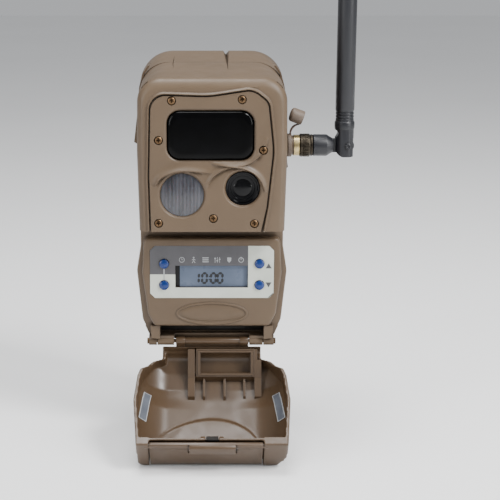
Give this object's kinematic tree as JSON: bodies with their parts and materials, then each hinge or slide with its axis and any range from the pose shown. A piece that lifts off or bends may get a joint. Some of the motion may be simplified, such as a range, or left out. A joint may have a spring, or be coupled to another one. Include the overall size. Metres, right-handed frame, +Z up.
{
  "type": "trail camera",
  "caption": "Weatherproof trail camera with infrared flash, motion sensor, drop-down door over a display panel, and a folding side antenna.",
  "frame": {"origin": "mouth of the tripod thread, in the middle of the back plane", "axes": "+Z up along the body and the antenna, +Y out of the back towards the tree or tripod, -Y the way the camera looks, +X to its right as seen from the front"},
  "size_m": [0.1371, 0.1166, 0.35],
  "materials": {
    "tan_plastic": "fine-textured moulded plastic",
    "dark_tan_plastic": "satin moulded plastic",
    "black_plastic": "satin black plastic",
    "black_gloss": "polished infrared-pass plastic",
    "dark_glass": "polished, coated",
    "fresnel": "milky, ribbed inside",
    "bronze_screw": "bronzed pan head",
    "steel": "zinc plated",
    "brass": "nickel-brass, worn",
    "knurled_metal": "dark knurled",
    "circuit_board": "solder mask",
    "led_epoxy": "tinted epoxy",
    "light_pipe": "frosted",
    "label_film": "printed film, two tones, no words",
    "lcd_glass": "polarised",
    "blue_button": "glossy domed",
    "gasket_rubber": "soft black",
    "tan_rubber": "moulded rubber cap",
    "brown_rubber": "thin tether",
    "cell_wrap": "printed wrapper over steel can",
    "sticker": "silver foil, blank",
    "antenna_black": "charcoal, slightly grained"
  },
  "bodies": {
    "housing": {"rear_shell": "tan_plastic", "front_housing": "tan_plastic", "housing_gasket": "gasket_rubber", "battery_chamber": "black_plastic", "tripod_insert": "brass", "rear_screws": "steel", "front_plate": "tan_plastic", "front_plate_screws": "bronze_screw", "ir_window": "black_gloss", "ir_led_board": "circuit_board", "ir_leds": "led_epoxy", "pir_lens": "fresnel", "pir_sensor": "steel", "lens_window": "dark_glass", "lens_barrel": "black_plastic", "lens_holder": "black_plastic", "image_sensor_board": "circuit_board", "control_panel": "dark_tan_plastic", "panel_label": "label_film", "lcd_window": "lcd_glass", "lcd_module": "black_plastic", "button_board": "circuit_board", "status_leds": "light_pipe", "port_panel": "black_plastic", "sd_socket": "steel", "sd_card": "black_plastic", "main_board": "circuit_board", "processor_shield": "steel", "modem_module": "steel", "sim_card": "label_film", "coax_lead": "gasket_rubber", "antenna_jack": "brass", "hinge_pin": "bronze_screw"},
    "door": {"door_shell": "dark_tan_plastic", "door_port_cover": "dark_tan_plastic", "port_gasket": "gasket_rubber", "door_stickers": "sticker", "latch_spring": "steel"},
    "latch_bar": {"latch_bar": "dark_tan_plastic"},
    "mode_button": {"mode_button": "blue_button"},
    "more_button": {"more_button": "blue_button"},
    "up_button": {"up_button": "blue_button"},
    "down_button": {"down_button": "blue_button"},
    "coupling_nut": {"coupling_nut": "knurled_metal"},
    "antenna_elbow": {"antenna_elbow": "antenna_black"},
    "antenna_whip": {"antenna_whip": "antenna_black", "elbow_pin": "steel"},
    "dust_cap": {"cap_tether": "brown_rubber", "dust_cap": "tan_rubber"},
    "battery_tray": {"battery_tray": "black_plastic", "battery_cells": "cell_wrap", "battery_contacts": "steel"}
  },
  "joints": [
    {"name": "door_hinge", "type": "hinge", "parent": "housing", "child": "door", "pos_m": [0, -0.055, -0.0902], "axis": [-1, 0, 0], "range_deg": [0, 127]},
    {"name": "latch_press", "type": "hinge", "parent": "door", "child": "latch_bar", "pos_m": [0, -0.11289, -0.13783], "axis": [1, 0, 0], "range_deg": [0, 5], "stiffness_Nm_per_rad": 0.25},
    {"name": "nut_turn", "type": "hinge", "parent": "housing", "child": "coupling_nut", "pos_m": [0.0575, -0.0446, 0.0338], "axis": [1, 0, 0], "continuous": true},
    {"name": "antenna_swivel", "type": "hinge", "parent": "housing", "child": "antenna_elbow", "pos_m": [0.066, -0.0446, 0.0338], "axis": [1, 0, 0], "continuous": true},
    {"name": "antenna_fold", "type": "hinge", "parent": "antenna_elbow", "child": "antenna_whip", "pos_m": [0.0839, -0.0446, 0.0338], "axis": [0, 1, 0], "range_deg": [0, 90]},
    {"name": "cap_swing", "type": "hinge", "parent": "housing", "child": "dust_cap", "pos_m": [0.048, -0.0446, 0.0338], "axis": [1, 0, 0], "range_deg": [-15, 150]},
    {"name": "tray_slide", "type": "slide", "parent": "housing", "child": "battery_tray", "axis": [0, 0, -1], "range_m": [0, 0.13]},
    {"name": "mode_button_press", "type": "slide", "parent": "housing", "child": "mode_button", "axis": [0, 1, 0], "range_m": [0, 0.0011], "stiffness_N_per_m": 600},
    {"name": "more_button_press", "type": "slide", "parent": "housing", "child": "more_button", "axis": [0, 1, 0], "range_m": [0, 0.0011], "stiffness_N_per_m": 600},
    {"name": "up_button_press", "type": "slide", "parent": "housing", "child": "up_button", "axis": [0, 1, 0], "range_m": [0, 0.0011], "stiffness_N_per_m": 600},
    {"name": "down_button_press", "type": "slide", "parent": "housing", "child": "down_button", "axis": [0, 1, 0], "range_m": [0, 0.0011], "stiffness_N_per_m": 600}
  ]
}
